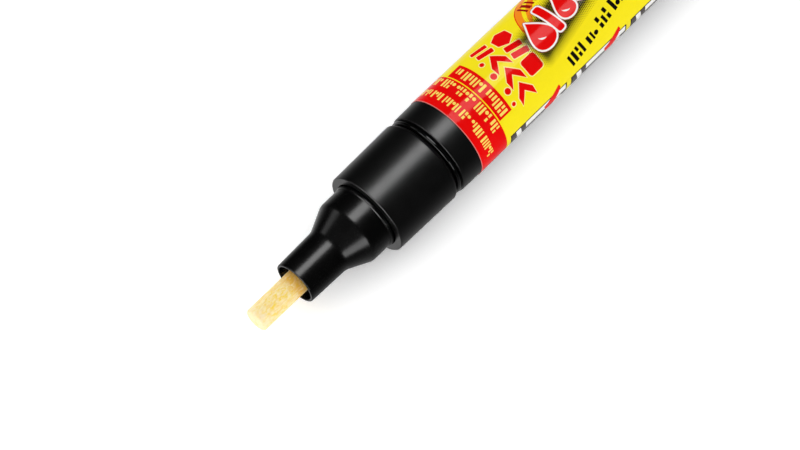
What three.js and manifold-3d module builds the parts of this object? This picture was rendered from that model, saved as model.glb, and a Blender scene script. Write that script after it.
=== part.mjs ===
// A press-tip pen for clear coat, lying on its side with its cap off. A fibre nib stands out of a stepped
// nozzle. Pressing the nib pushes a plunger back against its spring, which opens the valve in the barrel's neck.
// Millimetres, +Z up. The pen lies along X with its nib towards -X, on z = 0, centred on the origin.
import * as THREE from "three";
import { mergeVertices } from "three/addons/utils/BufferGeometryUtils.js";
import Module from "manifold-3d";

// Driving dimensions. A station is a distance along the pen, measured back from the tip of the nib.
const penLength = 127;
const barrelRadius = 8.33; // over the printed sleeve, at its front edge
const draft = Math.tan(THREE.MathUtils.degToRad(0.3)); // taper of the moulded barrel towards its closed end
const sides = 24; // flats round each turned piece, which also keep the pen from rolling
const gap = 0.3; // between pieces that touch on the real pen

const nibLength = 25;
const nibRadius = 2.25;
const nibEdge = 0.35;

const mouthAt = 9.44;
const mouthRadius = 4.12;
const mouthBore = 3.65;
const mouthEdge = 0.15;
const tubeEndAt = 17.73;
const tubeEndRadius = 4.32;
const coneEndAt = 22.23;
const coneEndRadius = 6.35;
const baseRadius = 6.42;
const lipRadius = 6.52;
const lipAt = 26.35;
const lipWidth = 0.4;
const nozzleWall = 1.1;
const ribCount = 6;
const ribWidth = 0.7;
const ribClearance = 0.1;
const ribFrontAt = 10.6;
const ribRearAt = 19.2;

const faceAt = 27;
const faceRadius = 8.06;
const faceEdge = 0.25;
const frontWall = 2.6;
const frontSectionEndAt = 41.1;
const frontSectionEndRadius = 8.25;
const rearRounding = 0.6;
const frontSectionBore = 7;
const frontHoleRadius = 6.6;
const flangeThickness = 1.2;
const flangeRadius = 6.65;

const sealFrontAt = 41.3;
const sealWidth = 0.75;
const sealOuterRadius = 7.98;
const sealEdge = 0.22;

const collarAt = 42.3;
const collarEdge = 0.15;
const collarFrontRadius = 8.18;
const collarRadius = 8.24;
const labelAt = 46.65;
const labelEndAt = 124.2;
const labelThickness = 0.16;
const labelGap = 0.05;
const barrelWall = 1.22;
const neckBore = 5.7;
const snapAt = 35.8;
const snapWidth = 1;
const snapHeight = 0.25;
const footEdge = 0.8;
const footRecess = 0.5;
const footRecessRadius = 6.2;
const baseThickness = 1.8;

const valveTubeRadius = 5.4;
const valveTubeBore = 4.6;
const valveWall = 2.3;
const valveEndAt = 50;
const portCount = 4;
const portAt = 38;
const portLength = 8;
const portWidth = 3;
const washerThickness = 1;
const washerHole = 1.7;
const stemHole = 1.9;

const rodRadius = 1.1;
const cupDepth = 1.5;
const cupRadius = 3.2;
const cupFloor = 1.1;
const headRadius = 3.2;
const headNose = 1.6;
const headCone = 1.2;
const headRim = 1.6;
const tailRodEndAt = 51.2;
const springRadius = 2.3;
const wireRadius = 0.3;
const springTurns = 7;
const wireSides = 8;
const stepsPerTurn = 14;
const retainerThickness = 1.3;
const retainerHole = 1.4;
const spigotLength = 0.7;
const spigotBore = 3.4;
const flowHoleCount = 6;
const flowHoleRadius = 0.6;
const flowCircle = 2.5;

// Stations and radii that follow from the ones above
const flangeAt = faceAt + frontWall + gap;
const valveAt = flangeAt + flangeThickness + gap;
const neckAt = valveAt + flangeThickness + gap;
const washerAt = valveAt + valveWall + gap;
const headAt = washerAt + washerThickness + gap;
const headEndAt = headAt + headCone + headRim;
const retainerAt = valveEndAt + gap;
const underLabelRadius = barrelRadius - labelThickness - labelGap;

const wasm = await Module();
wasm.setup();
const pen = new THREE.Group();

// A radius on the tapered length of the barrel, from its value at the label's front edge
function drafted(radius, station) {
  return radius - draft * (station - labelAt);
}

// A turned piece from its outline of [station, radius] pairs. Radii are measured to the middle of each flat.
function turned(outline) {
  const toCorner = 1 / Math.cos(Math.PI / sides);
  const points = outline.map(([station, radius]) => new THREE.Vector2(radius * toCorner, station));
  return new THREE.LatheGeometry(points, sides, Math.PI / sides).rotateZ(-Math.PI / 2);
}

// A turned ring: its outline closes on itself
function ring(outline) {
  return turned([...outline, outline[0]]);
}

// A bar along the pen, between two stations, standing out from the axis at an angle round it
function bar(frontAt, rearAt, innerRadius, outerRadius, width, angle) {
  const shape = new THREE.BoxGeometry(rearAt - frontAt, width, outerRadius - innerRadius);
  shape.translate((frontAt + rearAt) / 2, 0, (innerRadius + outerRadius) / 2);
  return shape.rotateX(angle);
}

// Equal angles round the pen
function around(count) {
  return Array.from({ length: count }, (_, index) => (index * 2 * Math.PI) / count);
}

function toSolid(geometry) {
  const bare = geometry.clone();
  bare.deleteAttribute("normal");
  bare.deleteAttribute("uv");
  const merged = mergeVertices(bare);
  return new wasm.Manifold(
    new wasm.Mesh({
      numProp: 3,
      vertProperties: merged.attributes.position.array,
      triVerts: Uint32Array.from(merged.index.array),
    }),
  );
}

function toGeometry(solid) {
  const mesh = solid.getMesh();
  const geometry = new THREE.BufferGeometry();
  geometry.setAttribute("position", new THREE.BufferAttribute(Float32Array.from(mesh.vertProperties), 3));
  geometry.setIndex(Array.from(mesh.triVerts));
  geometry.computeVertexNormals();
  return geometry;
}

function joined(base, additions) {
  return toGeometry(additions.reduce((solid, piece) => solid.add(toSolid(piece)), toSolid(base)));
}

function cutFrom(base, cutters) {
  return toGeometry(cutters.reduce((solid, piece) => solid.subtract(toSolid(piece)), toSolid(base)));
}

function finish(color, roughness, metalness = 0) {
  return new THREE.MeshStandardMaterial({ color, roughness, metalness });
}

function place(name, geometry, material) {
  const mesh = new THREE.Mesh(geometry, material);
  mesh.name = name;
  pen.add(mesh);
}

// The fibre rod that lays the clear coat down
function makeNib() {
  return turned([
    [0, 0],
    [0, nibRadius - nibEdge],
    [nibEdge, nibRadius],
    [nibLength - nibEdge, nibRadius],
    [nibLength, nibRadius - nibEdge],
    [nibLength, 0],
  ]);
}

// A thin-lipped tube that widens through a cone to its base. Ribs in its bore guide the nib, and its rear
// flange is trapped behind the front section's wall.
function makeNozzle() {
  const passRadius = frontHoleRadius - gap;
  const flangeEndAt = flangeAt + flangeThickness;
  const baseBore = baseRadius - nozzleWall;
  const shell = ring([
    [mouthAt, mouthBore],
    [mouthAt, mouthRadius - mouthEdge],
    [mouthAt + mouthEdge, mouthRadius],
    [tubeEndAt, tubeEndRadius],
    [coneEndAt, coneEndRadius],
    [lipAt, baseRadius],
    [lipAt, lipRadius],
    [lipAt + lipWidth, lipRadius],
    [lipAt + lipWidth, passRadius],
    [flangeAt, passRadius],
    [flangeAt, flangeRadius],
    [flangeEndAt, flangeRadius],
    [flangeEndAt, baseBore],
    [coneEndAt + nozzleWall / 2, baseBore],
    [tubeEndAt + nozzleWall / 2, tubeEndRadius - nozzleWall],
  ]);
  const ribs = around(ribCount).map((angle) =>
    bar(ribFrontAt, ribRearAt, nibRadius + ribClearance, mouthBore + ribClearance, ribWidth, angle),
  );
  return joined(shell, ribs);
}

// The ring that screws the nozzle and the valve onto the barrel's neck. A cap seats on its flat front face.
function makeFrontSection() {
  const grooveRadius = frontSectionBore + snapHeight;
  return ring([
    [faceAt, frontHoleRadius],
    [faceAt, faceRadius - faceEdge],
    [faceAt + faceEdge, faceRadius],
    [frontSectionEndAt - rearRounding, frontSectionEndRadius],
    [frontSectionEndAt - rearRounding / 4, frontSectionEndRadius - rearRounding / 4],
    [frontSectionEndAt, frontSectionEndRadius - rearRounding],
    [frontSectionEndAt, frontSectionBore],
    [snapAt + snapWidth, frontSectionBore],
    [snapAt + snapWidth, grooveRadius],
    [snapAt - gap, grooveRadius],
    [snapAt - gap, frontSectionBore],
    [faceAt + frontWall, frontSectionBore],
    [faceAt + frontWall, frontHoleRadius],
  ]);
}

// The soft ring squeezed between the front section and the barrel's collar
function makeNeckSeal() {
  const innerRadius = flangeRadius + gap;
  const sealEndAt = sealFrontAt + sealWidth;
  return ring([
    [sealFrontAt, innerRadius],
    [sealFrontAt, sealOuterRadius - sealEdge],
    [sealFrontAt + sealEdge, sealOuterRadius],
    [sealEndAt - sealEdge, sealOuterRadius],
    [sealEndAt, sealOuterRadius - sealEdge],
    [sealEndAt, innerRadius],
  ]);
}

// One moulding: a neck with a snap bead, the bare collar, a drafted body and a closed end with a recessed foot
function makeBarrel() {
  const boreRadius = underLabelRadius - barrelWall;
  const boreEndAt = penLength - footRecess - baseThickness;
  const boreStartAt = collarAt + barrelWall;
  const rimRadius = drafted(barrelRadius - labelThickness / 2, labelEndAt);
  return turned([
    [boreEndAt, 0],
    [boreEndAt, drafted(boreRadius, boreEndAt)],
    [boreStartAt, boreRadius],
    [boreStartAt - barrelWall, neckBore],
    [neckAt, neckBore],
    [neckAt, flangeRadius],
    [snapAt, flangeRadius],
    [snapAt + snapWidth / 4, flangeRadius + snapHeight],
    [snapAt + snapWidth / 2, flangeRadius + snapHeight],
    [snapAt + snapWidth, flangeRadius],
    [collarAt, flangeRadius],
    [collarAt, collarFrontRadius - collarEdge],
    [collarAt + collarEdge, collarFrontRadius],
    [labelAt - labelGap, collarRadius],
    [labelAt - labelGap, underLabelRadius],
    [labelEndAt + labelGap, drafted(underLabelRadius, labelEndAt)],
    [labelEndAt + labelGap, rimRadius],
    [penLength - footEdge, rimRadius],
    [penLength, rimRadius - footEdge],
    [penLength, footRecessRadius],
    [penLength - footRecess, footRecessRadius - footRecess],
    [penLength - footRecess, 0],
  ]);
}

// The printed film round the barrel
function makeLabelSleeve() {
  const innerRadius = barrelRadius - labelThickness;
  return ring([
    [labelAt, innerRadius],
    [labelAt, barrelRadius],
    [labelEndAt, drafted(barrelRadius, labelEndAt)],
    [labelEndAt, drafted(innerRadius, labelEndAt)],
  ]);
}

// A flanged tube in the barrel's neck. Its front wall carries the seat, and ports let the clear coat in.
function makeValveBody() {
  const shell = ring([
    [valveAt, stemHole],
    [valveAt, flangeRadius],
    [valveAt + flangeThickness, flangeRadius],
    [valveAt + flangeThickness, valveTubeRadius],
    [valveEndAt, valveTubeRadius],
    [valveEndAt, valveTubeBore],
    [valveAt + valveWall, valveTubeBore],
    [valveAt + valveWall, stemHole],
  ]);
  const ports = around(portCount).map((angle) =>
    bar(portAt, portAt + portLength, springRadius + gap, valveTubeRadius + gap, portWidth, angle),
  );
  return cutFrom(shell, ports);
}

// The rubber washer that the plunger closes on
function makeValveSeal() {
  const washerRadius = valveTubeBore - gap;
  return ring([
    [washerAt, washerHole],
    [washerAt, washerRadius],
    [washerAt + washerThickness, washerRadius],
    [washerAt + washerThickness, washerHole],
  ]);
}

// The plunger: a cup for the nib, a thin rod, the valve head and a rear rod inside the spring
function makeValveStem() {
  const cupFloorAt = nibLength + gap;
  const cupBore = nibRadius + gap;
  return turned([
    [cupFloorAt, 0],
    [cupFloorAt, cupBore],
    [cupFloorAt - cupDepth, cupBore],
    [cupFloorAt - cupDepth, cupRadius],
    [cupFloorAt + cupFloor, cupRadius],
    [cupFloorAt + cupFloor, rodRadius],
    [headAt, rodRadius],
    [headAt, headNose],
    [headAt + headCone, headRadius],
    [headEndAt, headRadius],
    [headEndAt, rodRadius],
    [tailRodEndAt, rodRadius],
    [tailRodEndAt, 0],
  ]);
}

// The line of a coil spring's wire, from one station to another
class CoilLine extends THREE.Curve {
  constructor(frontAt, rearAt) {
    super();
    this.frontAt = frontAt;
    this.rearAt = rearAt;
  }

  getPoint(t, target = new THREE.Vector3()) {
    const angle = t * springTurns * 2 * Math.PI;
    const station = THREE.MathUtils.lerp(this.frontAt, this.rearAt, t);
    return target.set(station, springRadius * Math.cos(angle), springRadius * Math.sin(angle));
  }
}

function makeValveSpring() {
  const line = new CoilLine(headEndAt + gap + wireRadius, retainerAt - gap - wireRadius);
  const wire = new THREE.Shape();
  wire.absarc(0, 0, wireRadius, 0, 2 * Math.PI);
  return new THREE.ExtrudeGeometry(wire, {
    curveSegments: wireSides,
    steps: springTurns * stepsPerTurn,
    extrudePath: line,
  });
}

// The disc that closes the valve body's rear end. It guides the plunger's rod, with flow holes round it.
function makeSpringRetainer() {
  const retainerEndAt = retainerAt + retainerThickness;
  const spigotRadius = valveTubeBore - gap;
  const disc = ring([
    [retainerAt, retainerHole],
    [retainerAt, spigotBore],
    [retainerAt - spigotLength, spigotBore],
    [retainerAt - spigotLength, spigotRadius],
    [retainerAt, spigotRadius],
    [retainerAt, valveTubeRadius],
    [retainerEndAt, valveTubeRadius],
    [retainerEndAt, retainerHole],
  ]);
  const drills = around(flowHoleCount).map((angle) =>
    new THREE.CylinderGeometry(flowHoleRadius, flowHoleRadius, 3 * retainerThickness, sides / 2)
      .rotateZ(Math.PI / 2)
      .translate((retainerAt + retainerEndAt) / 2, 0, flowCircle)
      .rotateX(angle),
  );
  return cutFrom(disc, drills);
}

place("barrel", makeBarrel(), finish("#050505", 0.3));
place("label_sleeve", makeLabelSleeve(), finish("#f5e316", 0.3));
place("front_section", makeFrontSection(), finish("#050505", 0.28));
place("neck_seal", makeNeckSeal(), finish("#080808", 0.45));
place("nozzle", makeNozzle(), finish("#050505", 0.3));
place("nib", makeNib(), finish("#fee19d", 0.95));
place("valve_body", makeValveBody(), finish("#e6e6e0", 0.5));
place("valve_seal", makeValveSeal(), finish("#1a1a1a", 0.7));
place("valve_stem", makeValveStem(), finish("#f2f2ee", 0.5));
place("valve_spring", makeValveSpring(), finish("#b8babd", 0.25, 1));
place("spring_retainer", makeSpringRetainer(), finish("#e6e6e0", 0.5));

pen.position.set(-penLength / 2, 0, barrelRadius);

export default pen;
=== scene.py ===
"""Looks of a press-tip clear-coat pen: black mouldings, a fibre nib and a printed film round the barrel.

Sizes are in metres, and in millimetres in the label's art. A station is a distance along +X. An angle is
measured round the pen from straight up towards -Y, which is the side that faces the camera.
"""

import math
import random

import bmesh
import bpy
from mathutils import Matrix, Vector
from mathutils.geometry import delaunay_2d_cdt


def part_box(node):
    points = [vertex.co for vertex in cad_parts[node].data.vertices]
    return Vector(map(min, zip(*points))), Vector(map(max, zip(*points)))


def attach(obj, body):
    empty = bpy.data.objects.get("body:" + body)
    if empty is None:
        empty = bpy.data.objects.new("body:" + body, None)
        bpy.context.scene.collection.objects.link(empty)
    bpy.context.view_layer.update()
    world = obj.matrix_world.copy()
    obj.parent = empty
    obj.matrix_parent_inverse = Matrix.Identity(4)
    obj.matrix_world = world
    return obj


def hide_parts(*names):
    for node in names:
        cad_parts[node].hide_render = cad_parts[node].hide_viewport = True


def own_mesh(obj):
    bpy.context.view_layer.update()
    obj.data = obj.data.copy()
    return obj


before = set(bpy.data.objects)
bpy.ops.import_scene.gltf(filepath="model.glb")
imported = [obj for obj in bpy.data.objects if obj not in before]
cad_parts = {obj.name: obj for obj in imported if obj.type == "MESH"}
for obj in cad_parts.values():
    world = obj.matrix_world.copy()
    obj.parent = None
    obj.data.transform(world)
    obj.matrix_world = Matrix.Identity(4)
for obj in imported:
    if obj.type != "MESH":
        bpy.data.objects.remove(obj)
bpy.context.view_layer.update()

MM = 0.001
TURN = 2 * math.pi
ROUND_SEGMENTS = 192  # sides of each turned piece, apart from the valve's
ARC_STEPS = 7  # pieces in each rounded corner
LONGEST_STEP = 0.9 * MM  # along a turned piece's outline
END_STEP = 0.03 * MM  # the step next to each end of a straight stretch
ON_AXIS = 1e-7  # a point nearer to the axis than this is on it
AXIS_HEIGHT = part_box("label_sleeve")[1].z / 2


def front(node):
    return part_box(node)[0].x


def rear(node):
    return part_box(node)[1].x


def radius(node):
    low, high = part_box(node)
    return (high.z - low.z) / 2


def round_pen(station, reach, angle):
    """The place at a station, a distance from the pen's axis and an angle round it."""
    return (station, -reach * math.sin(angle), AXIS_HEIGHT + reach * math.cos(angle))


# ---------------------------------------------------------------- camera, floor and light

VIEW_AZIMUTH = math.radians(-47.03)
VIEW_ELEVATION = math.radians(64.01)
VIEW_DISTANCE = 798.4 * MM
VIEW_LENS = 212.4  # in millimetres, as the sensor's width is
SENSOR_WIDTH = 36
# The view's centre is this far to the left of the pen's axis at the neck seal's rear, and this far below it
VIEW_LEFT = 4.64 * MM
VIEW_DOWN = 11.66 * MM


def make_camera():
    data = bpy.data.cameras.new("camera")
    data.sensor_width = SENSOR_WIDTH
    data.lens = VIEW_LENS
    camera = bpy.data.objects.new("camera", data)
    bpy.context.scene.collection.objects.link(camera)
    level, rise = math.cos(VIEW_ELEVATION), math.sin(VIEW_ELEVATION)
    backwards = Vector((math.sin(VIEW_AZIMUTH) * level, -math.cos(VIEW_AZIMUTH) * level, rise))
    right = Vector((math.cos(VIEW_AZIMUTH), math.sin(VIEW_AZIMUTH), 0))
    up = backwards.cross(right)
    neck = Vector((rear("neck_seal"), 0, AXIS_HEIGHT))
    camera.location = neck - VIEW_LEFT * right - VIEW_DOWN * up + VIEW_DISTANCE * backwards
    camera.rotation_euler = backwards.to_track_quat("Z", "Y").to_euler()
    bpy.context.scene.camera = camera


def make_softbox(name, direction, length, width, radiance):
    """A softbox a metre away that faces the pen and shows only in gloss. length is its size along the pen."""
    data = bpy.data.lights.new(name, "AREA")
    data.shape = "RECTANGLE"
    data.size = length
    data.size_y = width
    data.energy = radiance * math.pi * width * length
    light = bpy.data.objects.new(name, data)
    bpy.context.scene.collection.objects.link(light)
    away = Vector(direction).normalized()
    across = away.cross(Vector((1, 0, 0))).normalized()
    along = across.cross(away)
    light.matrix_world = Matrix.Translation(away) @ Matrix((along, across, away)).transposed().to_4x4()
    light.visible_camera = False
    light.visible_diffuse = False


def make_lights():
    make_softbox("overhead_softbox", (0.32, 0.058, 0.945), 0.7, 0.46, 5.2)
    make_softbox("rear_left_softbox", (-0.348, 0.796, 0.496), 0.3, 0.36, 1.1)
    make_softbox("front_left_softbox", (-0.403, -0.9, 0.166), 0.36, 0.44, 3.6)
    make_softbox("nozzle_end_softbox", (-1.0, 0.0, 0.2), 0.8, 1.2, 5.0)


AMBIENT = 1.0  # the light from all round, which lights every diffuse surface
TABLE_GLOSS = 0.34  # how bright the table looks in gloss, straight down
BEHIND_GLOSS = 5.0  # how many times that is added to it towards +Y, behind the pen


def fill(tree, socket, value):
    """Sets a socket to a number, or links another node's output to it."""
    if isinstance(value, bpy.types.NodeSocket):
        tree.links.new(value, socket)
    else:
        socket.default_value = value


def calculated(tree, operation, *values, clamp=False):
    made = tree.nodes.new("ShaderNodeMath")
    made.operation = operation
    made.use_clamp = clamp
    for socket, value in zip(made.inputs, values):
        fill(tree, socket, value)
    return made.outputs[0]


def make_world():
    """A white studio with light from all round. Gloss sees a dark room above and the white table below."""
    world = bpy.data.worlds.new("studio")
    bpy.context.scene.world = world
    world.use_nodes = True
    tree = world.node_tree
    tree.nodes.clear()
    node = tree.nodes.new
    link = tree.links.new

    def background(strength):
        made = node("ShaderNodeBackground")
        made.inputs["Color"].default_value = (1, 1, 1, 1)
        fill(tree, made.inputs["Strength"], strength)
        return made.outputs[0]

    def either(factor, first, second):
        made = node("ShaderNodeMixShader")
        for socket, value in zip(made.inputs, (factor, first, second)):
            link(value, socket)
        return made.outputs[0]

    direction = node("ShaderNodeSeparateXYZ")
    link(node("ShaderNodeTexCoord").outputs["Generated"], direction.inputs[0])
    below = calculated(tree, "MINIMUM", direction.outputs["Z"], 0.0)
    table = calculated(tree, "MULTIPLY", calculated(tree, "MULTIPLY", below, below), TABLE_GLOSS)
    behind = calculated(tree, "MAXIMUM", direction.outputs["Y"], 0.0)
    brightened = calculated(tree, "MULTIPLY_ADD", behind, BEHIND_GLOSS, 1.0)
    in_gloss = calculated(tree, "MULTIPLY", table, brightened)
    paths = node("ShaderNodeLightPath")
    unseen = either(paths.outputs["Is Glossy Ray"], background(AMBIENT), background(in_gloss))
    seen = either(paths.outputs["Is Camera Ray"], unseen, background(1.0))
    link(seen, node("ShaderNodeOutputWorld").inputs[0])


FLOOR_SIZE = 4
FLOOR_BRIGHTNESS = 1.48  # the table is over-exposed by this much, which leaves only the shadow's core


def make_floor():
    bpy.ops.mesh.primitive_grid_add(x_subdivisions=8, y_subdivisions=8, size=FLOOR_SIZE)
    floor = bpy.context.object
    floor.name = "floor"
    floor.visible_glossy = False
    surface = Surface("floor_white")
    surface.constant(Base_Color=3 * (FLOOR_BRIGHTNESS,) + (1,), Roughness=0.9, Specular_IOR_Level=0.0)
    floor.data.materials.append(surface.material)


# ---------------------------------------------------------------- materials


class Surface:
    """Short words for the nodes that a procedural surface is made of."""

    def __init__(self, name):
        self.material = bpy.data.materials.new(name)
        self.material.use_nodes = True
        self.tree = self.material.node_tree
        self.shader = self.tree.nodes["Principled BSDF"]
        self.place = self.tree.nodes.new("ShaderNodeTexCoord").outputs["Object"]

    def constant(self, **values):
        for name, value in values.items():
            self.shader.inputs[name.replace("_", " ")].default_value = value

    def stretched(self, along, across):
        """Object coordinates scaled along the pen and across it, in cycles a metre."""
        mapping = self.tree.nodes.new("ShaderNodeMapping")
        mapping.inputs["Scale"].default_value = (along, across, across)
        self.tree.links.new(self.place, mapping.inputs["Vector"])
        return mapping.outputs["Vector"]

    def noise(self, along, across=None, detail=3.0, distortion=0.0):
        made = self.tree.nodes.new("ShaderNodeTexNoise")
        self.tree.links.new(self.stretched(along, across or along), made.inputs["Vector"])
        made.inputs["Scale"].default_value = 1.0
        made.inputs["Detail"].default_value = detail
        made.inputs["Distortion"].default_value = distortion
        return made.outputs["Fac"]

    def math(self, operation, first, second, clamp=False):
        return calculated(self.tree, operation, first, second, clamp=clamp)

    def remap(self, value, low, high, new_low=0.0, new_high=1.0):
        made = self.tree.nodes.new("ShaderNodeMapRange")
        made.interpolation_type = "SMOOTHSTEP"
        self.tree.links.new(value, made.inputs["Value"])
        numbers = {"From Min": low, "From Max": high, "To Min": new_low, "To Max": new_high}
        for socket, number in numbers.items():
            made.inputs[socket].default_value = number
        return made.outputs["Result"]

    def blend(self, factor, first, second):
        """The first colour, or the second where the factor is 1."""
        made = self.tree.nodes.new("ShaderNodeMix")
        made.data_type = "RGBA"
        self.tree.links.new(factor, made.inputs["Factor"])
        for socket, colour in zip((made.inputs[6], made.inputs[7]), (first, second)):
            if isinstance(colour, bpy.types.NodeSocket):
                self.tree.links.new(colour, socket)
            else:
                socket.default_value = (*colour, 1)
        return made.outputs[2]

    def station(self):
        split = self.tree.nodes.new("ShaderNodeSeparateXYZ")
        self.tree.links.new(self.place, split.inputs[0])
        return split.outputs["X"]

    def set(self, socket, output):
        self.tree.links.new(output, self.shader.inputs[socket])

    def bump(self, height, distance, strength):
        made = self.tree.nodes.new("ShaderNodeBump")
        made.inputs["Distance"].default_value = distance
        made.inputs["Strength"].default_value = strength
        self.tree.links.new(height, made.inputs["Height"])
        self.tree.links.new(made.outputs["Normal"], self.shader.inputs["Normal"])


def black_plastic(name, roughness, gloss):
    """Moulded polypropylene: faint flow marks, fine scuffs along the pen and a slight grain."""
    surface = Surface(name)
    surface.constant(Specular_IOR_Level=gloss)
    cloud = surface.noise(420, detail=4)
    scuff = surface.noise(900, 7000, detail=2)
    surface.set("Base Color", surface.blend(cloud, (0.0004, 0.0004, 0.0004), (0.0009, 0.0009, 0.001)))
    worn = surface.remap(scuff, 0.58, 0.78, 0.0, 0.025)
    cloudy = surface.remap(cloud, 0.3, 0.7, roughness - 0.012, roughness + 0.012)
    surface.set("Roughness", surface.math("ADD", cloudy, worn))
    surface.bump(surface.noise(2600, detail=1), 0.0004 * MM, 0.2)
    return surface.material


def seal_rubber():
    surface = Surface("seal_rubber")
    surface.constant(Specular_IOR_Level=0.5)
    cloud = surface.noise(900, detail=4)
    surface.set("Base Color", surface.blend(cloud, (0.001, 0.001, 0.001), (0.002, 0.002, 0.002)))
    surface.set("Roughness", surface.remap(cloud, 0.3, 0.7, 0.07, 0.1))
    surface.bump(surface.noise(2600, detail=1), 0.0004 * MM, 0.2)
    return surface.material


def white_plastic():
    surface = Surface("white_plastic")
    cloud = surface.noise(500, detail=4)
    surface.constant(Subsurface_Weight=0.15, Subsurface_Scale=0.5 * MM)
    surface.set("Base Color", surface.blend(cloud, (0.74, 0.74, 0.7), (0.82, 0.82, 0.79)))
    surface.set("Roughness", surface.remap(cloud, 0.3, 0.7, 0.38, 0.5))
    surface.bump(surface.noise(6000, detail=2), 0.003 * MM, 0.5)
    return surface.material


def spring_steel():
    surface = Surface("spring_steel")
    surface.constant(Metallic=1.0)
    drawn = surface.noise(3000, 9000, detail=3)
    surface.set("Base Color", surface.blend(drawn, (0.5, 0.51, 0.52), (0.62, 0.63, 0.64)))
    surface.set("Roughness", surface.remap(drawn, 0.3, 0.7, 0.18, 0.34))
    return surface.material


def pressed_fibre():
    """Cream fibre with yellow flecks and pale strands, faded at the tip and wetted at the nozzle's mouth."""
    surface = Surface("pressed_fibre")
    surface.constant(
        Subsurface_Weight=0.2,
        Subsurface_Scale=0.6 * MM,
        Subsurface_Radius=(1.0, 0.6, 0.25),
        Specular_IOR_Level=0.15,
        Roughness=0.9,
        Sheen_Weight=0.15,
    )
    strand = surface.noise(900, 4200, detail=3, distortion=0.4)
    fleck = surface.noise(900, 1500, detail=4, distortion=1.2)
    pale = surface.noise(1700, 3000, detail=3, distortion=0.8)
    cream = surface.blend(surface.remap(strand, 0.35, 0.65), (0.91, 0.66, 0.25), (0.98, 0.81, 0.42))
    flecked = surface.blend(surface.remap(fleck, 0.5, 0.64, 0.0, 0.9), cream, (0.93, 0.66, 0.07))
    bleached = surface.blend(surface.remap(pale, 0.52, 0.68, 0.0, 0.6), flecked, (0.99, 0.84, 0.55))
    tip, mouth = front("nib"), front("nozzle")
    worn = surface.remap(surface.station(), tip + 0.3 * MM, tip + 3.0 * MM, 0.4, 0.0)
    faded = surface.blend(worn, bleached, (1.0, 0.88, 0.66))
    wetted = surface.remap(surface.station(), mouth - 3.0 * MM, mouth - 0.2 * MM, 0.0, 0.62)
    patchy = surface.math("MULTIPLY", wetted, surface.remap(fleck, 0.36, 0.56, 0.45, 1.3), clamp=True)
    surface.set("Base Color", surface.blend(patchy, faded, (0.82, 0.42, 0.05)))
    surface.bump(surface.math("ADD", strand, surface.noise(3000, 6000, detail=2)), 0.05 * MM, 0.8)
    return surface.material


# ---------------------------------------------------------------- turned pieces

FILM_FRONT = front("label_sleeve")
DRAFT = math.tan(math.radians(0.3))  # the taper of the barrel and its film towards the closed end


def drafted(distance, station):
    """A radius of the barrel or its film at a station, given what it is at the film's front edge."""
    return distance - DRAFT * (station - FILM_FRONT)


def rounded(outline, closed, steps=ARC_STEPS):
    """The outline with its corners as arcs. A corner is (station, radius) or (station, radius, rounding)."""
    points = []
    count = len(outline)
    for index, corner in enumerate(outline):
        here = Vector(corner[:2])
        rounding = corner[2] if len(corner) > 2 else 0.0
        is_end = not closed and index in (0, count - 1)
        if rounding == 0.0 or is_end:
            points.append(here)
            continue
        before = Vector(outline[index - 1][:2]) - here
        after = Vector(outline[(index + 1) % count][:2]) - here
        half = before.angle(after) / 2
        reach = min(rounding / math.tan(half), 0.49 * before.length, 0.49 * after.length)
        bend = reach * math.tan(half)
        middle = here + (before.normalized() + after.normalized()).normalized() * bend / math.sin(half)
        start = here + before.normalized() * reach - middle
        end = here + after.normalized() * reach - middle
        sweep = start.angle_signed(end)
        for step in range(steps + 1):
            turn = -sweep * step / steps
            spoke = Vector(
                (
                    start.x * math.cos(turn) - start.y * math.sin(turn),
                    start.x * math.sin(turn) + start.y * math.cos(turn),
                )
            )
            points.append(middle + spoke)
    return points


def resampled(points, closed):
    """Long straight stretches in short steps, with a step close to each end so that shading stays true."""
    ends = points + points[:1] if closed else points
    result = []
    for here, there in zip(ends, ends[1:]):
        result.append(here)
        length = (there - here).length
        if length > 4 * END_STEP:
            direction = (there - here) / length
            middle = length - 2 * END_STEP
            count = max(1, math.ceil(middle / LONGEST_STEP))
            for step in range(count + 1):
                result.append(here + direction * (END_STEP + middle * step / count))
    if not closed:
        result.append(ends[-1])
    return result


def turn(name, outline, closed=True, segments=ROUND_SEGMENTS, shape=None):
    """A piece turned about the pen's axis. shape(station, radius, angle) may change a point's radius."""
    points = resampled(rounded(outline, closed), closed)
    mesh = bmesh.new()
    rows = []
    for station, distance in points:
        if distance < ON_AXIS:
            rows.append([mesh.verts.new((station, 0, AXIS_HEIGHT))])
            continue
        row = []
        for step in range(segments):
            angle = TURN * step / segments
            reach = shape(station, distance, angle) if shape else distance
            row.append(mesh.verts.new(round_pen(station, reach, angle)))
        rows.append(row)
    pairs = list(zip(rows, rows[1:]))
    if closed:
        pairs.append((rows[-1], rows[0]))
    for first, second in pairs:
        for step in range(segments):
            after = (step + 1) % segments
            if len(first) == 1:
                mesh.faces.new((first[0], second[step], second[after]))
            elif len(second) == 1:
                mesh.faces.new((first[step], second[0], first[after]))
            else:
                mesh.faces.new((first[step], second[step], second[after], first[after]))
    return finished(name, mesh)


def finished(name, mesh):
    bmesh.ops.recalc_face_normals(mesh, faces=mesh.faces)
    for face in mesh.faces:
        face.smooth = True
    data = bpy.data.meshes.new(name)
    mesh.to_mesh(data)
    mesh.free()
    made = bpy.data.objects.new(name, data)
    bpy.context.scene.collection.objects.link(made)
    return made


def dress(piece, node, body, material):
    """Puts the piece in the place of its CAD node."""
    piece.data.materials.clear()
    piece.data.materials.append(material)
    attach(piece, body)
    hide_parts(node)


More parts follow.
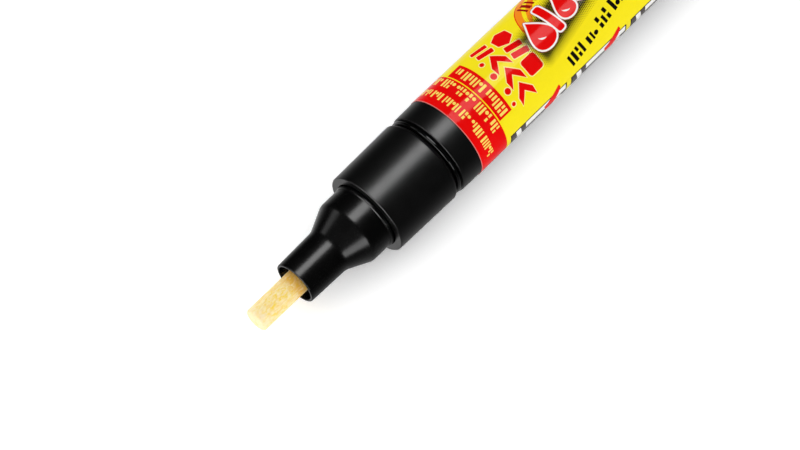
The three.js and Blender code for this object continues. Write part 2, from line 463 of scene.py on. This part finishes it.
def nozzle_ribs(mouth, bore):
    """The shape of the ridges inside the nozzle's bore, which guide the nib."""
    count = 6
    top = radius("nib") + 0.1 * MM
    start, end = mouth + 1.16 * MM, mouth + 9.76 * MM
    half_width, flank, ramp_length = 0.38 * MM, 0.12 * MM, 0.5 * MM
    clearance = 0.05 * MM

    def ribbed(station, distance, angle):
        if distance > bore + clearance or not start < station < end:
            return distance
        nearest = round(angle * count / TURN) * TURN / count
        aside = abs(angle - nearest) * distance
        ramp = min(1.0, (station - start) / ramp_length)
        inside = max(0.0, min(1.0, (half_width - aside) / flank))
        return distance - (distance - top) * inside * ramp

    return ribbed


def make_nozzle(material):
    mouth, end, flange = front("nozzle"), rear("nozzle"), radius("nozzle")
    tube_radius, tube_end_radius = 4.12 * MM, 4.32 * MM
    tube_end = mouth + 8.29 * MM
    cone_end = mouth + 12.79 * MM
    base_radius = 6.42 * MM
    lip = mouth + 16.91 * MM
    lip_end = lip + 0.4 * MM
    lip_radius = 6.52 * MM
    pass_radius = 6.3 * MM
    flange_front = end - 1.2 * MM
    bore, throat, base_bore = 3.65 * MM, 3.22 * MM, 5.32 * MM
    outline = [
        (mouth, bore, 0.1 * MM),
        (mouth, tube_radius, 0.2 * MM),
        (tube_end, tube_end_radius, 3.0 * MM),
        (cone_end, base_radius - 0.05 * MM, 2.2 * MM),
        (lip - 0.14 * MM, base_radius - 0.04 * MM, 0.06 * MM),
        (lip + 0.02 * MM, lip_radius, 0.18 * MM),
        (lip_end, lip_radius, 0.18 * MM),
        (lip_end + 0.1 * MM, pass_radius, 0.05 * MM),
        (flange_front, pass_radius, 0.05 * MM),
        (flange_front, flange, 0.1 * MM),
        (end, flange, 0.1 * MM),
        (end, base_bore, 0.1 * MM),
        (cone_end + 0.55 * MM, base_bore, 0.5 * MM),
        (tube_end + 0.55 * MM, throat, 0.5 * MM),
    ]
    piece = turn("nozzle_shell", outline, shape=nozzle_ribs(mouth, bore))
    dress(piece, "nozzle", "body", material)


def make_front_section(material):
    face, end, rear_radius = front("front_section"), rear("front_section"), radius("front_section")
    face_radius = 8.06 * MM
    hole, bore = 6.6 * MM, 7.0 * MM
    wall_end = face + 2.6 * MM
    groove = face + 8.5 * MM
    groove_end = groove + 1.3 * MM
    groove_radius = 7.25 * MM
    outline = [
        (face, hole, 0.08 * MM),
        (face, face_radius, 0.2 * MM),
        (end - 0.7 * MM, rear_radius, 0.6 * MM),
        (end, rear_radius - 0.75 * MM, 0.25 * MM),
        (end, bore, 0.1 * MM),
        (groove_end, bore, 0.1 * MM),
        (groove_end, groove_radius, 0.1 * MM),
        (groove, groove_radius, 0.1 * MM),
        (groove, bore, 0.1 * MM),
        (wall_end, bore, 0.1 * MM),
        (wall_end, hole, 0.08 * MM),
    ]
    piece = turn("front_section_shell", outline)
    dress(piece, "front_section", "body", material)


def make_neck_seal(material):
    start, end, outer = front("neck_seal"), rear("neck_seal"), radius("neck_seal")
    inner = 6.95 * MM
    outline = [
        (start, inner, 0.05 * MM),
        (start, outer, 0.37 * MM),
        (end, outer, 0.37 * MM),
        (end, inner, 0.05 * MM),
    ]
    dress(turn("neck_seal_ring", outline), "neck_seal", "body", material)


def make_barrel(material):
    neck, end = front("barrel"), rear("barrel")
    label_start, label_end = front("label_sleeve"), rear("label_sleeve")
    collar = rear("neck_seal") + 0.25 * MM
    collar_radius, collar_front_radius = radius("barrel"), radius("barrel") - 0.06 * MM
    neck_radius, neck_bore = 6.65 * MM, 5.7 * MM
    snap = neck + 2.7 * MM
    snap_radius = neck_radius + 0.25 * MM
    under_label = radius("label_sleeve") - 0.21 * MM
    wall, base = 1.22 * MM, 1.8 * MM
    recess, recess_radius = 0.5 * MM, 6.2 * MM
    gap = 0.05 * MM  # beside each end of the label
    outline = [
        (end - recess - base, 0.0),
        (end - recess - base, drafted(under_label - wall, end), 1.0 * MM),
        (collar + wall, under_label - wall, 0.3 * MM),
        (collar, neck_bore, 0.3 * MM),
        (neck, neck_bore, 0.1 * MM),
        (neck, neck_radius, 0.2 * MM),
        (snap, neck_radius, 0.1 * MM),
        (snap + 0.25 * MM, snap_radius, 0.1 * MM),
        (snap + 0.5 * MM, snap_radius, 0.1 * MM),
        (snap + 1.0 * MM, neck_radius, 0.1 * MM),
        (collar, neck_radius, 0.1 * MM),
        (collar, collar_front_radius, 0.16 * MM),
        (label_start - gap, collar_radius, 0.04 * MM),
        (label_start - gap, under_label, 0.02 * MM),
        (label_end + gap, drafted(under_label, label_end), 0.02 * MM),
        (label_end + gap, drafted(collar_radius, label_end), 0.06 * MM),
        (end, drafted(collar_radius, label_end), 0.75 * MM),
        (end, recess_radius, 0.15 * MM),
        (end - recess, recess_radius - recess, 0.15 * MM),
        (end - recess, 1.3 * MM, 0.1 * MM),
        (end - recess + 0.15 * MM, 1.1 * MM, 0.08 * MM),
        (end - recess + 0.15 * MM, 0.0),
    ]
    piece = turn("barrel_moulding", outline, closed=False)
    dress(piece, "barrel", "body", material)


def make_nib(material):
    tip, end, rod = front("nib"), rear("nib"), radius("nib")
    edge = 0.42 * MM
    inset, depth = 0.012 * MM, 0.0035 * MM
    wave_count = 26
    waves = []
    for _ in range(wave_count):
        phase, weight = random.uniform(0, TURN), random.uniform(0.6, 1.0)
        turns, pitch = random.randint(3, 26), random.uniform(200, 2400)  # pitch is in radians a metre
        waves.append((phase, weight, turns, pitch))

    def fibrous(station, distance, angle):
        """Strands and hollows in the pressed fibre, shallower than a twentieth of a millimetre."""
        height = 0
        for phase, weight, turns, pitch in waves:
            height += weight * math.sin(turns * angle + phase + pitch * (station - tip))
        return distance - inset - depth * height * min(1.0, distance / rod)

    outline = [
        (tip, 0.0),
        (tip, rod, edge),
        (end, rod, edge),
        (end, 0.0),
    ]
    piece = turn("nib_rod", outline, closed=False, shape=fibrous)
    dress(piece, "nib", "nib", material)


# ---------------------------------------------------------------- the valve

ASSEMBLY_GAP = 0.3 * MM  # between pieces that touch on the real pen
VALVE_SEGMENTS = 96  # sides of the valve's turned pieces


def make_valve_seal(material):
    start, end, outer = front("valve_seal"), rear("valve_seal"), radius("valve_seal")
    hole, edge = 1.7 * MM, 0.12 * MM
    outline = [(start, hole, edge), (start, outer, edge), (end, outer, edge), (end, hole, edge)]
    piece = turn("valve_seal_washer", outline, segments=VALVE_SEGMENTS)
    dress(piece, "valve_seal", "body", material)


def make_valve_stem(material):
    """The plunger: a cup for the nib, a thin rod, the valve's head and a rear rod inside the spring."""
    start, end, cup = front("valve_stem"), rear("valve_stem"), radius("valve_stem")
    bore, rod = radius("nib") + ASSEMBLY_GAP, 1.1 * MM
    floor = start + 1.5 * MM
    cup_end = floor + 1.1 * MM
    head = rear("valve_seal") + ASSEMBLY_GAP
    cone_end, head_end = head + 1.2 * MM, head + 2.8 * MM
    nose = 1.6 * MM
    edge = 0.12 * MM
    outline = [
        (floor, 0.0),
        (floor, bore, 0.3 * MM),
        (start, bore, edge),
        (start, cup, edge),
        (cup_end, cup, edge),
        (cup_end, rod, 0.3 * MM),
        (head, rod, edge),
        (head, nose, edge),
        (cone_end, cup, edge),
        (head_end, cup, edge),
        (head_end, rod, 0.25 * MM),
        (end, rod, 0.2 * MM),
        (end, 0.0),
    ]
    piece = turn("valve_plunger", outline, closed=False, segments=VALVE_SEGMENTS)
    dress(piece, "valve_stem", "plunger", material)


def make_valve_spring(material):
    """A coil that shortens towards its rear end as the nib is pressed."""
    start, end, wire = front("valve_spring"), rear("valve_spring"), 0.3 * MM
    coil = radius("valve_spring") - wire
    turns, steps, sides = 7, 40, 14
    mesh = bmesh.new()
    rows = []
    for step in range(turns * steps + 1):
        angle = TURN * step / steps
        station = start + wire + (end - start - 2 * wire) * step / (turns * steps)
        row = []
        for side in range(sides):
            spin = TURN * side / sides
            reach = coil + wire * math.cos(spin)
            aside, height = reach * math.cos(angle), reach * math.sin(angle)
            row.append(mesh.verts.new((station + wire * math.sin(spin), aside, AXIS_HEIGHT + height)))
        rows.append(row)
    for first, second in zip(rows, rows[1:]):
        for side in range(sides):
            after = (side + 1) % sides
            mesh.faces.new((first[side], second[side], second[after], first[after]))
    mesh.faces.new(rows[0])
    mesh.faces.new(rows[-1][::-1])
    piece = finished("valve_coil", mesh)
    dress(piece, "valve_spring", "body", material)
    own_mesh(piece)


# ---------------------------------------------------------------- the printed sleeve

FILM_RADIUS = radius("label_sleeve")
FILM_THICKNESS = 0.16 * MM
FILM_WELD = 0.003 * MM  # joins the ends of the flat film, and points that are this close
FACING = math.radians(18.4)  # the angle round the pen of the line that faces the camera

# Inks, in linear light
INKS = {
    "yellow": (0.91, 0.76, 0.012),
    "red": (0.78, 0.002, 0.002),
    "deep_red": (0.3, 0.006, 0.004),
    "white": (0.88, 0.87, 0.84),
    "cream": (0.93, 0.8, 0.33),
    "gold": (0.95, 0.72, 0.13),
    "orange": (0.9, 0.26, 0.012),
    "black": (0.005, 0.0045, 0.004),
    "grey": (0.075, 0.065, 0.062),
    # pale pink: the film's unprinted inside, thickness and seam, and a painted highlight along both cut ends
    "cut_edge_and_highlight": (0.72, 0.2, 0.18),
}

# The art is drawn flat, in millimetres. u runs along the pen from the sleeve's front edge, and v round it.
# v is 0 on the line that faces the camera and grows towards -Y and the table. Its ends meet underneath.
SLEEVE_LENGTH = (rear("label_sleeve") - front("label_sleeve")) / MM
HALF_ROUND = math.pi * FILM_RADIUS / MM
FRONT_BAND = 6.3
REAR_BAND = SLEEVE_LENGTH - 5.2
# width of the pale line painted along each end of the film as a painted highlight on its cut edge
EDGE_HIGHLIGHT_WIDTH = 0.13
SEAM = 0.12
RIM = 0.16  # round each figure of the heading
# The marks in a row, as shares of the row's height
MARK_WIDTHS = (0.186, 0.2356, 0.2852)
MARK_GAP = 0.17
GROUP_GAP = 0.25


def rectangle(u0, v0, u1, v1):
    return [(u0, v0), (u1, v0), (u1, v1), (u0, v1)]


def disc(u, v, reach, count=14):
    angles = [TURN * k / count for k in range(count)]
    return [(u + reach * math.cos(angle), v + reach * math.sin(angle)) for angle in angles]


def regular(reach, sides, waist=1.0):
    """A polygon about the origin, or a star whose inner corners are at waist times its reach."""
    corners = []
    for k in range(2 * sides):
        distance = reach if k % 2 == 0 else reach * waist
        angle = TURN * k / (2 * sides)
        corners.append((distance * math.cos(angle), distance * math.sin(angle)))
    return corners[::2] if waist == 1.0 else corners


def drop(length, width, count=26):
    """A drop with its point at the origin and its round end at +u."""
    points = []
    curve_width = 1.3  # about how wide the curve is by itself
    for k in range(count):
        angle = TURN * k / count
        across = width * math.sin(angle) * math.sin(angle / 2) ** 1.5 / curve_width
        points.append((length * (1 - math.cos(angle)) / 2, across))
    return points


def crescent(reach, thickness, start, end, count=16):
    """A tapering curve about the origin, thickest halfway."""
    outer, inner = [], []
    for k in range(count + 1):
        part = k / count
        angle = start + (end - start) * part
        outer.append((reach * math.cos(angle), reach * math.sin(angle)))
        inset = reach - thickness * math.sin(math.pi * part)
        inner.append((inset * math.cos(angle), inset * math.sin(angle)))
    return outer + inner[-2:0:-1]


def chevron(length, width, stroke):
    """An arrowhead about the origin that points to -v."""
    half, reach = width / 2, length / 2
    outside = [(-half, reach - stroke), (0, -reach), (half, reach - stroke)]
    return outside + [(half, reach), (0, stroke - reach), (-half, reach)]


def moved(points, u, v, tilt=0.0):
    """The shape turned about the origin, in degrees, and then put at u, v."""
    cosine, sine = math.cos(math.radians(tilt)), math.sin(math.radians(tilt))
    return [(u + a * cosine - b * sine, v + a * sine + b * cosine) for a, b in points]


def softened(points, rounding):
    corners = [(a, b, rounding) for a, b in points]
    return [tuple(point) for point in rounded(corners, closed=True, steps=3)]


def anticlockwise(points):
    area = sum(a[0] * b[1] - b[0] * a[1] for a, b in zip(points, points[1:] + points[:1]))
    return points if area > 0 else points[::-1]


def grown(points, margin):
    """The outline moved outwards by a margin, with its sharp corners cut short."""
    points = anticlockwise(points)
    result = []
    for before, here, after in zip(points[-1:] + points[:-1], points, points[1:] + points[:1]):
        first = (Vector(here) - Vector(before)).normalized()
        second = (Vector(after) - Vector(here)).normalized()
        bisector = Vector((first.y + second.y, -first.x - second.x))
        result.append(tuple(Vector(here) + bisector * margin / max(0.6, 1 + first.dot(second))))
    return result


def mark_row(u0, u1, v0, v1, ink):
    """Blocks and dots in groups, from v0 down to v1, in place of a line of print. They say nothing."""
    height = u1 - u0
    shapes = []
    along = 0.0
    while True:
        for _ in range(random.randint(3, 7)):
            width = height * random.choice(MARK_WIDTHS)
            if v0 - along - width < v1:
                return shapes
            kind = random.random()
            low, high = -along, -along - width
            if kind < 0.5:
                parts = [rectangle(0, high, height, low)]
            elif kind < 0.7:
                parts = [rectangle(0.3 * height, high, height, low)]
            elif kind < 0.87:
                parts = [rectangle(0, high, 0.4 * height, low), rectangle(0.58 * height, high, height, low)]
            else:
                parts = [disc(0.74 * height, (low + high) / 2, 0.2 * height, 8)]
            shapes += [(moved(part, u0, v0), ink) for part in parts]
            along += width + MARK_GAP * height
        along += GROUP_GAP * height


def fine_print(u0, u1, v0, v1, pitch, ink):
    """Lines of short bars along the pen, too small to be anything but a texture."""
    shapes = []
    v = v0
    while v + 0.5 * pitch < v1:
        u = u0
        line_end = u1 - random.uniform(0, 0.2) * (u1 - u0)
        while True:
            width = random.uniform(1.2, 4.2) * pitch
            if u + width > line_end:
                break
            shapes.append((rectangle(u, v, u + width, v + 0.45 * pitch), ink))
            u += width + 0.4 * pitch
        v += pitch
    return shapes


def band_art():
    """The red band at each end and the red box beside the front one, with their rows of marks."""
    shapes = [
        (rectangle(0, -HALF_ROUND, FRONT_BAND, HALF_ROUND), "red"),
        (rectangle(FRONT_BAND + 0.2, -9.0, 9.5, 4.5), "red"),
        (rectangle(REAR_BAND, -HALF_ROUND, SLEEVE_LENGTH, HALF_ROUND), "red"),
        (rectangle(REAR_BAND - 0.5, -HALF_ROUND, REAR_BAND - 0.25, HALF_ROUND), "red"),
    ]
    shapes += mark_row(1.5, 3.05, 8.6, -HALF_ROUND + 1, "gold")
    shapes += mark_row(4.25, 6.0, 5.3, -HALF_ROUND + 1, "gold")
    shapes += mark_row(7.1, 8.9, 4.05, -8.7, "gold")
    shapes += mark_row(REAR_BAND + 1.7, REAR_BAND + 3.5, 14.0, -14.0, "gold")
    return shapes


def outlined(points):
    return [(grown(points, RIM), "cream"), (points, "red")]


def heading_art():
    """Two lines of bold figures across the pen: arrowheads, bars and dots, then blocks and a hexagon."""
    shapes = []
    for v in (3.7, 0.2, -3.3):
        shapes += outlined(moved(chevron(3.9, 3.4, 1.75), 13.5, v))
    shapes += outlined(softened(moved(rectangle(-1.6, -0.55, 1.6, 0.55), 13.4, -6.3, 16), 0.2))
    shapes += outlined(softened(moved(rectangle(-1.6, -0.55, 1.6, 0.55), 13.4, -8.1, 16), 0.2))
    for u, v, reach in ((10.9, 1.6, 0.6), (10.95, -1.9, 0.62), (11.3, -5.0, 0.45), (10.4, 4.0, 0.4)):
        shapes += outlined(disc(u, v, reach))
    shapes += outlined(softened(rectangle(15.9, -0.5, 19.1, 2.7), 0.55))
    for v in (-1.8, -3.5):
        shapes += outlined(softened(moved(rectangle(-1.65, -0.58, 1.65, 0.58), 17.5, v, 14), 0.2))
    shapes += outlined(softened(moved(regular(1.95, 6), 17.5, -6.3, 30), 0.2))
    return shapes


EMBLEM_START = (20.4, 1.6)
EMBLEM_TILT = -12.0
EMBLEM_LENGTH = 27.0


def on_emblem(points):
    return moved(points, *EMBLEM_START, EMBLEM_TILT)


def emblem_parts():
    """Fat drops and slanted bars, in the emblem's own place: along it, and across it with -v as up."""
    drops, bars = [], []
    for along, size in ((2.3, 1.0), (9.1, 0.78), (13.3, 0.78), (22.3, 0.78)):
        drops.append(moved(drop(6.3 * size, 4.4 * size), along + 0.7 * size, -6.2 * size, 97))
    for along, length in ((5.7, 6.5), (17.2, 6.2), (19.4, 4.6)):
        bars.append(softened(moved(rectangle(-0.75, -length, 0.75, 0), along, 0.0, 7), 0.45))
    return drops, bars


def halftone():
    """Black dots that shrink away from the emblem, as its printed shadow."""
    shapes = []
    pitch, row_pitch = 0.36, 0.87
    top, foot = -4.6, 0.4
    fade_along, fade_across = 2.4, 2.6
    largest, smallest = 0.21, 0.04
    for row in range(-22, 12):
        for column in range(-9, 86):
            along = (column + 0.5 * (row % 2)) * pitch
            across = row * pitch * row_pitch
            outside = max(0.0, -along, along - EMBLEM_LENGTH) / fade_along
            aside = max(0.0, across - foot, top - across) / fade_across
            reach = largest * (1 - math.hypot(outside, aside))
            if reach > smallest:
                shapes.append((on_emblem(disc(along, across, reach, 6)), "black"))
    return shapes


def emblem_art():
    drops, bars = emblem_parts()
    shapes = halftone()
    for margin, ink in ((0.42, "deep_red"), (0.33, "white"), (0.0, "red")):
        shapes += [(grown(on_emblem(outline), margin), ink) for outline in drops + bars]
    for outline in drops:
        middle = sum((Vector(point) for point in outline), Vector((0, 0))) / len(outline)
        glint = crescent(0.95, 0.34, math.radians(75), math.radians(190), 8)
        shapes.append((on_emblem(moved(glint, middle.x, middle.y + 0.5)), "white"))
    return shapes + slanted_row(23.2, 4.8, 2.5, 26.0, "black")


def slanted_row(u, v, height, length, ink):
    """A row of marks that runs along the pen, at the emblem's slant."""
    flat = mark_row(0.0, height, 0.0, -length, ink)
    return [(moved(points, u, v, 90 + EMBLEM_TILT), ink) for points, ink in flat]


def flame_art():
    """Tapering flames, each orange with a red edge and a yellow heart, and a row of small marks over them."""
    shapes = []
    start, end = math.radians(165), math.radians(285)
    for u, v, reach in ((31.2, -2.0, 10.6), (46.5, -6.5, 9.2), (60.5, -9.5, 8.0)):
        for inset, thickness, ink in (
            (-0.12, 3.5, "red"),
            (0.05, 3.2, "orange"),
            (1.3, 0.8, "yellow"),
        ):
            trim = 0.05 * (inset + 0.2)
            curve = crescent(reach - inset, thickness, start + trim, end - trim)
            shapes.append((moved(curve, u, v), ink))
    return shapes + slanted_row(23.8, -9.1, 2.5, 15.0, "deep_red")


PANEL_START = 7.3
PANEL_LENGTH = 14.2
PANEL_PITCH = 15.3
PANEL_TOP, PANEL_FOOT = 9.2, 16.2
PANEL_FRAME = 0.3


def panel_art():
    """Picture panels that are only stripes and a spot on grey, each with a red tick across its edge."""
    low, high = PANEL_TOP + PANEL_FRAME, PANEL_FOOT - PANEL_FRAME
    first_stripe = [(1.3, low), (2.5, low), (3.4, high), (2.4, high)]
    second_stripe = [(6.2, high), (7.6, high), (10.4, low + 1.9), (9.6, low + 1.9)]
    tick = [(8.4, 10.3), (9.3, 10.0), (12.4, 7.9), (12.7, 8.8), (10.6, 12.6), (9.3, 13.0)]
    figures = [
        (rectangle(0, PANEL_TOP, PANEL_LENGTH, PANEL_FOOT), "black"),
        (rectangle(PANEL_FRAME, low, PANEL_LENGTH - PANEL_FRAME, high), "white"),
        (rectangle(PANEL_FRAME, low + 1.6, PANEL_LENGTH - PANEL_FRAME, high), "grey"),
        (rectangle(PANEL_FRAME, low, 3.8, high), "grey"),
        (first_stripe, "white"),
        (second_stripe, "white"),
        (disc(11.9, low + 2.9, 1.1), "white"),
        (tick, "red"),
    ]
    shapes = []
    for index in range(4):
        start = PANEL_START + PANEL_PITCH * index
        shapes += [(moved(points, start, 0), ink) for points, ink in figures]
    return shapes


def back_art():
    """Small print and signs at the back and underneath, where the camera doesn't see them."""
    shapes = [(rectangle(9.0, -25.0, 50.0, -15.2), "white")]
    shapes += fine_print(10.0, 49.0, -24.3, -15.8, 0.95, "black")
    shapes.append((rectangle(7.3, 17.0, 67.4, 25.9), "black"))
    shapes += fine_print(8.0, 67.0, 17.5, 25.6, 0.95, "white")
    for index, u in enumerate((53.2, 59.0, 64.8)):
        middle = (u + 2.4, -20.1)
        shapes.append((rectangle(u, -22.5, u + 4.8, -17.7), "black"))
        shapes.append((rectangle(u + 0.25, -22.25, u + 4.55, -17.95), "white"))
        signs = (moved(drop(3.4, 2.5), -1.8, 0), regular(1.9, 8, 0.62), chevron(2.6, 3.2, 1.0))
        shapes.append((moved(signs[index], *middle), "black"))
    shapes.append((disc(61.4, -20.1, 0.75), "white"))
    return shapes


def edge_art():
    """The film's cut edges, painted pale along both ends as a painted highlight, and the seam where its ends
    overlap.
    """
    return [
        (rectangle(0, -HALF_ROUND, EDGE_HIGHLIGHT_WIDTH, HALF_ROUND), "cut_edge_and_highlight"),
        (rectangle(SLEEVE_LENGTH - EDGE_HIGHLIGHT_WIDTH, -HALF_ROUND, SLEEVE_LENGTH, HALF_ROUND), "cut_edge_and_highlight"),
        (rectangle(0, -HALF_ROUND, SLEEVE_LENGTH, SEAM - HALF_ROUND), "cut_edge_and_highlight"),
    ]


def sleeve_art():
    """Every printed shape with its ink, from the bottom layer to the top one."""
    shapes = [(rectangle(0, -HALF_ROUND, SLEEVE_LENGTH, HALF_ROUND), "yellow")]
    for layer in (band_art, heading_art, flame_art, emblem_art, panel_art, back_art, edge_art):
        shapes += layer()
    return shapes


def cut_flat(outlines):
    """The flat film's points, its triangles and, for each triangle, the numbers of the outlines it is in."""
    points, faces, edges = [], [], []
    for outline in outlines:
        faces.append(list(range(len(points), len(points) + len(outline))))
        points += [Vector(point) for point in outline]
    columns, rows = 96, 40
    for column in range(1, columns):
        v = HALF_ROUND * (2 * column / columns - 1)
        edges.append((len(points), len(points) + 1))
        points += [Vector((0, v)), Vector((SLEEVE_LENGTH, v))]
    for row in range(1, rows):
        u = SLEEVE_LENGTH * row / rows
        edges.append((len(points), len(points) + 1))
        points += [Vector((u, -HALF_ROUND)), Vector((u, HALF_ROUND))]
    inside_only, tolerance = 1, 1e-4
    flat, _, triangles, _, _, owners = delaunay_2d_cdt(points, edges, faces, inside_only, tolerance, True)
    return flat, triangles, owners


def make_label():
    """The film as one closed skin, which is cut along the edges of its printed shapes."""
    shapes = [(anticlockwise(outline), ink) for outline, ink in sleeve_art()]
    flat, triangles, owners = cut_flat([outline for outline, _ in shapes])
    mesh = bmesh.new()
    outer = []
    for u, v in flat:
        station = FILM_FRONT + u * MM
        reach = drafted(FILM_RADIUS, station)
        angle = FACING + v * MM / FILM_RADIUS
        outer.append(mesh.verts.new(round_pen(station, reach, angle)))
    names = list(INKS)
    for triangle, owner in zip(triangles, owners):
        face = mesh.faces.new([outer[k] for k in triangle])
        face.material_index = names.index(shapes[max(owner)][1])
    bmesh.ops.remove_doubles(mesh, verts=mesh.verts, dist=FILM_WELD)
    line_film(mesh, names.index("cut_edge_and_highlight"))
    piece = finished("label_film", mesh)
    normals = [film_normal(vertex.co) for vertex in piece.data.vertices]
    piece.data.normals_split_custom_set_from_vertices(normals)
    for ink, colour in INKS.items():
        piece.data.materials.append(printed_ink(ink, colour))
    # Its colours don't bounce onto the table, which sees the black barrel instead
    piece.visible_diffuse = False
    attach(piece, "body")
    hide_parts("label_sleeve")


def line_film(mesh, ink_index):
    """Closes the film: an inside, joined to the outside by the thickness of the film at both ends."""
    rims = [vertex for vertex in mesh.verts if vertex.is_boundary]
    middle = (front("label_sleeve") + rear("label_sleeve")) / 2
    loops = []
    for is_rear in (False, True):
        outer = [vertex for vertex in rims if (vertex.co.x > middle) == is_rear]
        outer.sort(key=lambda vertex: math.atan2(vertex.co.y, vertex.co.z - AXIS_HEIGHT))
        inner = []
        for vertex in outer:
            across = Vector((0, vertex.co.y, vertex.co.z - AXIS_HEIGHT)).normalized()
            inner.append(mesh.verts.new(vertex.co - across * FILM_THICKNESS))
        loops.append((outer, inner))
    (front_outer, front_inner), (rear_outer, rear_inner) = loops
    for first, second in ((front_outer, front_inner), (front_inner, rear_inner), (rear_inner, rear_outer)):
        for k in range(len(first)):
            after = (k + 1) % len(first)
            face = mesh.faces.new((first[k], second[k], second[after], first[after]))
            face.material_index = ink_index


def film_normal(place):
    """Straight out from the axis on the film's outside, and towards it on the inside."""
    across = Vector((0, place.y, place.z - AXIS_HEIGHT))
    outside = across.length > drafted(FILM_RADIUS, place.x) - FILM_THICKNESS / 2
    normal = across.normalized() * (1 if outside else -1)
    normal.x = DRAFT if outside else -DRAFT
    return normal.normalized()


def printed_ink(name, colour):
    """Ink under glossy film: slight unevenness in the ink, and a film that isn't quite flat."""
    surface = Surface("ink_" + name)
    surface.constant(Specular_IOR_Level=0.14)
    darker = tuple(0.95 * part for part in colour)
    surface.set("Base Color", surface.blend(surface.noise(1500, detail=4), darker, colour))
    surface.set("Roughness", surface.remap(surface.noise(600, detail=3), 0.3, 0.7, 0.09, 0.14))
    surface.bump(surface.noise(700, detail=2), 0.003 * MM, 0.4)
    return surface.material


# ---------------------------------------------------------------- the finished pen

random.seed(7)
bpy.context.scene.view_settings.view_transform = "Standard"
make_camera()
make_world()
make_lights()
make_floor()

moulded = black_plastic("black_plastic", roughness=0.25, gloss=0.5)
satin = black_plastic("black_plastic_satin", roughness=0.32, gloss=0.62)
rubber = seal_rubber()
natural = white_plastic()
make_nozzle(moulded)
make_front_section(satin)
make_neck_seal(rubber)
make_barrel(satin)
make_nib(pressed_fibre())
make_label()
make_valve_seal(rubber)
make_valve_stem(natural)
make_valve_spring(spring_steel())
for name in ("valve_body", "spring_retainer"):
    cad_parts[name].data.materials.clear()
    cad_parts[name].data.materials.append(natural)
